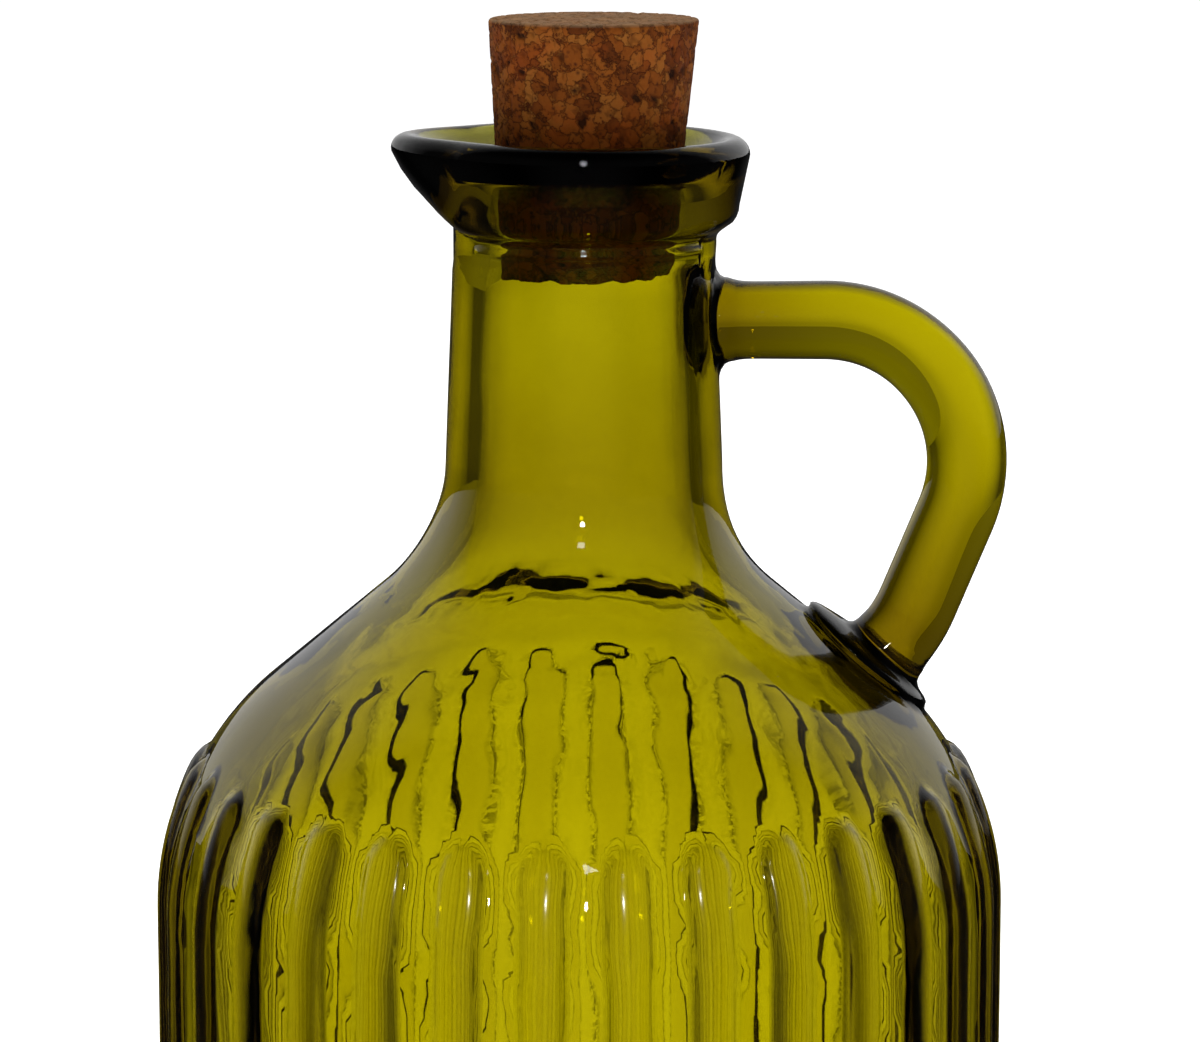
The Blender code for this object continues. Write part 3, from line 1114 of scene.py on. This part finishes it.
@dataclass(frozen=True)
class GlassFinish:
    """Yellow-green recycled glass, browner at the neck's foot and the handle, with painted shade in the
    ribs' roots and a painted dark dish in the mouth.

    The points carry how much each of brown, painted root shade, painted dish shade and rib there is.
    """

    name: str = "green_glass"
    tint: Triple = (0.99, 0.99, 0.95)
    tint_deep: Triple = (0.95, 0.94, 0.86)
    # Painted shade for the ribs' root lines, and painted dark shade for the dish of the mouth.
    root: Triple = (0.03, 0.026, 0.012)
    painted_dish_shade: Triple = (0.045, 0.045, 0.035)
    browned: Triple = (0.46, 0.37, 0.15)
    absorbed: Triple = (0.875, 0.853, 0.0)
    density: float = 755.0
    index: float = 1.5
    rib_roughness: float = 0.12
    grain_scale: float = 1400.0
    cloud_scale: float = 45.0
    cloud_range: Pair = (0.35, 0.65)
    # Grain range that breaks up the painted root shade.
    root_shade_range: Pair = (0.44, 0.53)
    rough_range: Pair = (0.45, 0.75)
    roughest: float = 0.045

    def build(self) -> Material:
        """Makes the glass.

        Returns:
            The material.
        """
        material, board = new_material(self.name)
        place = board.add("ShaderNodeTexCoord").outputs["Object"]
        speckle = Speckle.place(board, {"Vector": place, "Grain Scale": self.grain_scale})
        grain = speckle.outputs["Grain"]
        clouds = board.remap(board.cloud(place, self.cloud_scale, 2.0), *self.cloud_range)
        colour = board.mix(clouds, (*self.tint, 1.0), (*self.tint_deep, 1.0))
        colour = board.mix(board.attribute("brown"), colour, (*self.browned, 1.0))
        # Painted shade along the ribs' root lines, broken up by the grain.
        painted_root_shade = board.remap(grain, *self.root_shade_range)
        painted_root_shade = board.math("MULTIPLY", board.attribute("root_shade"), painted_root_shade)
        colour = board.mix(painted_root_shade, colour, (*self.root, 1.0))
        # Painted dark shade on the dish of the mouth.
        colour = board.mix(board.attribute("dish_shade"), colour, (*self.painted_dish_shade, 1.0))
        on_ribs = board.math("MULTIPLY", board.attribute("rib"), self.rib_roughness)
        rough = board.remap(grain, *self.rough_range, 0.0, self.roughest)
        looks = {
            "Base Color": colour,
            "Roughness": board.math("MAXIMUM", rough, on_ribs),
            "Metallic": 0.0,
            "Transmission Weight": 1.0,
            "IOR": self.index,
        }
        board.feed(board.tree.nodes["Principled BSDF"], looks)
        inputs = {"Color": (*self.absorbed, 1.0), "Density": self.density}
        absorb = board.add("ShaderNodeVolumeAbsorption", inputs).outputs["Volume"]
        board.feed(board.tree.nodes["Material Output"], {"Volume": absorb})
        return material


@dataclass(frozen=True)
class CorkFinish:
    """Pressed cork granules in several browns, with dark cracks between them and a paler flat top."""

    name: str = "pressed_cork"
    dark: Triple = (0.052, 0.013, 0.002)
    middle: Triple = (0.135, 0.031, 0.003)
    warm: Triple = (0.240, 0.062, 0.006)
    pale: Triple = (0.320, 0.115, 0.018)
    orange: Triple = (0.330, 0.060, 0.006)
    # Paler tan that the flat top is mixed towards.
    pale_top_and_root_shade: Triple = (0.300, 0.200, 0.110)
    crack: Triple = (0.012, 0.005, 0.003)
    granule_scale: float = 500.0
    warp_scale: float = 420.0
    warp: float = 4.5 * MM
    grain_scale: float = 1800.0
    speck_scale: float = 900.0
    speck_size: float = 0.35
    speck_share: float = 0.9
    pick_share: float = 0.75
    grain_share: float = 0.30
    patch_scale: float = 190.0
    patch_range: Pair = (0.50, 0.68)
    patch_share: float = 0.45
    seam_width: float = 0.08
    seam_share: float = 0.70
    crevice_range: Pair = (0.25, 0.8)
    crevice_share: float = 0.9
    # Where the flat top is, how much of the paler tan it gets, and how much less in the cracks.
    top_range: Pair = (0.2060, 0.2064)
    pale_top_share: float = 0.65
    pale_top_off_cracks: float = 0.7
    rough_range: Pair = (0.78, 0.98)
    gloss: float = 0.1
    bump: float = 0.8
    bump_height: float = 0.15 * MM
    bump_grain: float = 0.5

    def add_cells(self, board: Board, place: NodeSocket) -> tuple[NodeSocket, NodeSocket]:
        """Adds the granules' cells, with bent walls.

        Args:
            board: The material's nodes.
            place: The cork's own coordinates.

        Returns:
            A random value for each cell, and the way to the nearest wall.
        """
        inputs = {"Vector": place, "Scale": self.warp_scale, "Detail": 5.0, "Roughness": 0.65}
        push = board.add("ShaderNodeTexNoise", inputs).outputs["Color"]
        inputs = {0: push, 1: (0.5, 0.5, 0.5)}
        push = board.add("ShaderNodeVectorMath", inputs, operation="SUBTRACT").outputs[0]
        inputs = {0: push, "Scale": self.warp}
        push = board.add("ShaderNodeVectorMath", inputs, operation="SCALE").outputs[0]
        warped = board.add("ShaderNodeVectorMath", {0: place, 1: push}, operation="ADD").outputs[0]
        inputs = {"Vector": warped, "Scale": self.granule_scale}
        cells = board.add("ShaderNodeTexVoronoi", inputs)
        edges = board.add("ShaderNodeTexVoronoi", inputs, feature="DISTANCE_TO_EDGE")
        pick = board.add("ShaderNodeSeparateColor", {0: cells.outputs["Color"]}).outputs[0]
        return pick, edges.outputs["Distance"]

    def build(self) -> Material:
        """Makes the cork's finish.

        Returns:
            The material.
        """
        material, board = new_material(self.name)
        place = board.add("ShaderNodeTexCoord").outputs["Object"]
        pick, wall = self.add_cells(board, place)
        inputs = {
            "Vector": place,
            "Grain Scale": self.grain_scale,
            "Speck Scale": self.speck_scale,
            "Speck Size": self.speck_size,
        }
        speckle = Speckle.place(board, inputs).outputs
        shade = board.math("MULTIPLY", pick, self.pick_share)
        shade = board.math("ADD", shade, board.math("MULTIPLY", speckle["Grain"], self.grain_share))
        stops = [(0.0, self.dark), (0.25, self.middle), (0.60, self.warm), (1.0, self.pale)]
        patch = board.cloud(place, self.patch_scale, 4.0)
        patch = board.remap(patch, *self.patch_range, 0.0, self.patch_share)
        colour = board.mix(patch, board.ramp(shade, stops), (*self.orange, 1.0))
        seam = board.remap(wall, 0.0, self.seam_width, self.seam_share, 0.0)
        crevice = board.attribute("crevice")
        crevice = board.remap(crevice, *self.crevice_range, 0.0, self.crevice_share)
        cut = board.math("MAXIMUM", seam, crevice)
        speck = board.math("MULTIPLY", speckle["Specks"], self.speck_share)
        colour = board.mix(board.math("MAXIMUM", cut, speck), colour, (*self.crack, 1.0))
        high = board.add("ShaderNodeSeparateXYZ", {0: place}).outputs["Z"]
        # The flat top is mixed towards the paler tan, less in the cracks.
        top = board.remap(high, *self.top_range, 0.0, self.pale_top_share)
        clean = board.math("MULTIPLY", cut, self.pale_top_off_cracks)
        paler_top = board.math("MULTIPLY", top, board.math("SUBTRACT", 1.0, clean))
        height = board.math("MULTIPLY", speckle["Grain"], self.bump_grain)
        height = board.math("SUBTRACT", height, cut)
        inputs = {"Strength": self.bump, "Distance": self.bump_height, "Height": height}
        looks = {
            "Base Color": board.mix(paler_top, colour, (*self.pale_top_and_root_shade, 1.0)),
            "Specular IOR Level": self.gloss,
            "Normal": board.add("ShaderNodeBump", inputs).outputs["Normal"],
            "Roughness": board.remap(cut, 0.0, 1.0, *self.rough_range),
        }
        board.feed(board.tree.nodes["Principled BSDF"], looks)
        return material


@dataclass(frozen=True)
class Panel:
    """A rectangular soft light that faces the bottle's shoulder."""

    name: str
    place: Triple
    width: float
    depth: float
    watts: float
    mirrored: bool = True

    def build(self) -> Object:
        """Adds the light.

        Returns:
            The panel, unseen by the camera.
        """
        light = bpy.data.lights.new(self.name, "AREA")
        light.shape = "RECTANGLE"
        light.size, light.size_y = self.width, self.depth
        light.energy = self.watts
        panel = bpy.data.objects.new(self.name, light)
        panel.location = self.place
        aim = Vector((0.0, 0.0, 0.1)) - Vector(self.place)
        panel.rotation_euler = aim.to_track_quat("-Z", "Y").to_euler()
        panel.visible_camera = False
        panel.visible_glossy = self.mirrored
        panel.visible_transmission = self.mirrored
        bpy.context.collection.objects.link(panel)
        return panel


def mirrored_outside(board: Board) -> NodeSocket:
    """Finds the light that a surface mirrors without having passed through glass.

    Args:
        board: Nodes of the floor or the world.

    Returns:
        1 for that light, else 0.
    """
    path = board.add("ShaderNodeLightPath").outputs
    mirrored = board.math("GREATER_THAN", path["Glossy Depth"], 0.5)
    outside = board.math("LESS_THAN", path["Transmission Depth"], 0.5)
    return board.math("MULTIPLY", mirrored, outside)


@dataclass
class Studio:
    """The pale floor, the soft light and the camera."""

    floor_half: float = 9.0
    floor_drop: float = 0.05 * MM
    floor_glow: float = 1.0
    floor_mirrored: float = 0.03
    floor_near: float = 0.10
    floor_through: float = 0.76
    near_start: float = 0.07
    near_end: float = 0.20
    floor_side: float = 0.15
    side_lobe: float = 0.88
    side_start: float = 0.97
    side_end: float = 0.74
    sky_behind: float = 0.42
    sky_front: float = 0.25
    mirrored_behind: float = 0.65
    mirrored_front: float = 0.03
    sky_above: float = 0.25
    sky_turn: Pair = (-0.2, 0.75)
    mirrored_turn: Pair = (0.1, 0.6)
    above_turn: Pair = (0.45, 0.85)
    pale: Pair = (0.90, 0.94)
    panels: tuple[Panel, ...] = (
        Panel("key_panel", (0.012, -1.17, 0.53), 0.06, 0.07, 1.1),
        Panel("upper_panel", (0.010, -1.0, 0.78), 0.08, 0.08, 0.16),
        Panel("top_panel", (0.0, 0.5, 1.3), 0.9, 0.9, 14.0, mirrored=False),
    )
    camera_place: Triple = (0.00296, -0.67546, 0.25082)
    camera_pitch: float = 9.67
    camera_lens: float = 145.67
    camera_sensor: float = 36.0
    camera_reach: Pair = (0.01, 100.0)

    def floor_share(self, board: Board, place: NodeSocket) -> NodeSocket:
        """Gives how much of the floor's light a ray gets, less near the bottle and in reflections.

        Args:
            board: The floor's nodes.
            place: The floor's own coordinates.

        Returns:
            A share from 0 to 1, always 1 for what the camera sees directly.
        """
        path = board.add("ShaderNodeLightPath").outputs
        away = board.add("ShaderNodeVectorMath", {0: place}, operation="LENGTH").outputs["Value"]
        near = board.remap(away, self.near_start, self.near_end, self.floor_near, self.floor_through)
        parts = board.add("ShaderNodeSeparateXYZ", {0: place}).outputs
        sideways = board.math("MULTIPLY", board.math("ABSOLUTE", parts["X"]), self.side_lobe)
        along = board.math("MAXIMUM", sideways, board.math("ABSOLUTE", parts["Y"]))
        facing = board.math("DIVIDE", along, away)
        side = board.remap(facing, self.side_end, self.side_start, self.floor_side, 1.0)
        kept = board.remap(mirrored_outside(board), 0.0, 1.0, 1.0, self.floor_mirrored)
        share = board.math("MULTIPLY", board.math("MULTIPLY", near, side), kept)
        open_air = board.math("MAXIMUM", path["Is Camera Ray"], path["Is Diffuse Ray"])
        return board.math("MAXIMUM", share, open_air)

    def build_floor(self) -> Object:
        """Makes the pale floor, as wide as the picture needs.

        Returns:
            The floor.
        """
        work = bmesh.new()
        bmesh.ops.create_grid(work, x_segments=8, y_segments=8, size=self.floor_half)
        bmesh.ops.translate(work, vec=(0.0, 0.0, -self.floor_drop), verts=work.verts)
        floor = object_from(work, "pale_floor")
        material, board = new_material("pale_floor")
        place = board.add("ShaderNodeTexCoord").outputs["Object"]
        share = self.floor_share(board, place)
        dim, bright = ((grey, grey, grey, 1.0) for grey in self.pale)
        pale = board.mix(board.cloud(place, 2.0, 3.0), dim, bright)
        lit = board.mix(share, (0.0, 0.0, 0.0, 1.0), pale)
        looks = {
            "Base Color": lit,
            "Emission Color": lit,
            "Emission Strength": self.floor_glow,
            "Roughness": 0.9,
            "Specular IOR Level": 0.0,
        }
        board.feed(board.tree.nodes["Principled BSDF"], looks)
        floor.data.materials.append(material)
        floor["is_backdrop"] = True
        return floor

    def build_world(self) -> None:
        """Makes the plain soft light all round: brightest behind the object, white to the camera."""
        world = bpy.data.worlds.new("soft_light")
        bpy.context.scene.world = world
        world.use_nodes = True
        board = Board(world.node_tree)
        way = board.add("ShaderNodeTexCoord").outputs["Generated"]
        parts = board.add("ShaderNodeSeparateXYZ", {0: way}).outputs
        path = board.add("ShaderNodeLightPath").outputs
        level = board.remap(parts["Y"], *self.sky_turn, self.sky_front, self.sky_behind)
        mirror = board.remap(parts["Y"], *self.mirrored_turn, self.mirrored_front, self.mirrored_behind)
        inputs = {0: mirrored_outside(board), 2: level, 3: mirror}
        level = board.add("ShaderNodeMix", inputs).outputs[0]
        high = board.remap(parts["Z"], *self.above_turn, 1.0, self.sky_above)
        light = board.math("MAXIMUM", board.math("MULTIPLY", level, high), path["Is Camera Ray"])
        looks = {"Color": (1.0, 1.0, 1.0, 1.0), "Strength": light}
        board.feed(world.node_tree.nodes["Background"], looks)

    def build_camera(self) -> None:
        """Adds the camera at the photograph's viewing angle."""
        data = bpy.data.cameras.new("camera")
        data.lens = self.camera_lens
        data.sensor_width = self.camera_sensor
        data.clip_start, data.clip_end = self.camera_reach
        camera = bpy.data.objects.new("camera", data)
        camera.location = self.camera_place
        camera.rotation_euler = (math.radians(90.0 - self.camera_pitch), 0.0, 0.0)
        bpy.context.collection.objects.link(camera)
        bpy.context.scene.camera = camera

    def build(self) -> None:
        """Sets up the whole studio."""
        self.build_floor()
        self.build_world()
        for panel in self.panels:
            panel.build()
        self.build_camera()
        view = bpy.context.scene.view_settings
        view.view_transform = "Standard"
        view.look = "None"


def place_piece(piece: Object, node: str, material: Material) -> None:
    """Dresses a finished piece and puts it in its node's place.

    Args:
        piece: The new piece.
        node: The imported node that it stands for.
        material: Its finish.
    """
    piece.data.materials.clear()
    piece.data.materials.append(material)
    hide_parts(node)
    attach(piece, "root")
    faces = sum(len(face.vertices) - 2 for face in piece.data.polygons)
    LOG.info("%s stands for %s: %d triangles", piece.name, node, faces)


def main() -> None:
    """Builds the bottle, the cork and the studio."""
    logging.basicConfig(level=logging.INFO, format="%(message)s")
    cad_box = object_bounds()
    Studio().build()
    place_piece(Bottle().build(), "bottle", GlassFinish().build())
    place_piece(Cork().build(), "cork", CorkFinish().build())
    boxes = {"cad": cad_box, "visual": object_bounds()}
    boxes = {name: [list(corner) for corner in box] for name, box in boxes.items()}


if __name__ == "__main__":
    main()
